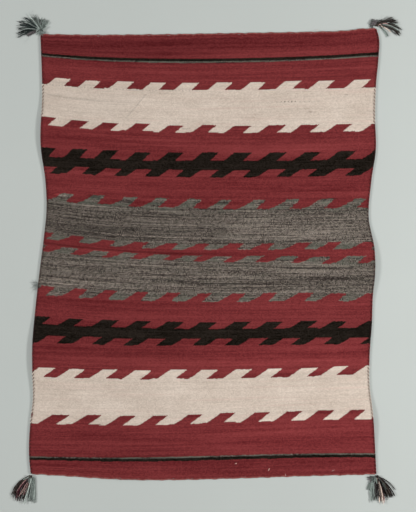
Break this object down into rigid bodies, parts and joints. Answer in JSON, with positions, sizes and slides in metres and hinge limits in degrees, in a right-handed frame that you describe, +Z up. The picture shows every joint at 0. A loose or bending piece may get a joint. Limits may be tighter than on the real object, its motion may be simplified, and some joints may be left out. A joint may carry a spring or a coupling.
{
  "type": "tasselled rug",
  "caption": "Flat wool rug in a thick tapestry weave, with banded stripes and serrated edges, twined edge cords and a tassel at each corner.",
  "frame": {"origin": "on the surface that the rug lies on, under the middle of the whole rug, tassels included", "axes": "+X towards the rug's right edge, +Y towards its top edge, +Z up, out of its face"},
  "size_m": [1.4232, 1.7656, 0.0097],
  "materials": {
    "wool_cloth": "thick matte hand-woven wool",
    "cord_wool": "twined two-ply wool cord",
    "tassel_wool": "loose two-ply wool yarn ends"
  },
  "bodies": {
    "root": {"cloth": "wool_cloth", "edge_cord_left": "cord_wool", "edge_cord_right": "cord_wool", "edge_cord_bottom": "cord_wool", "edge_cord_top": "cord_wool", "tassel_top_left": "tassel_wool", "tassel_top_right": "tassel_wool", "tassel_bottom_left": "tassel_wool", "tassel_bottom_right": "tassel_wool"}
  },
  "joints": []
}
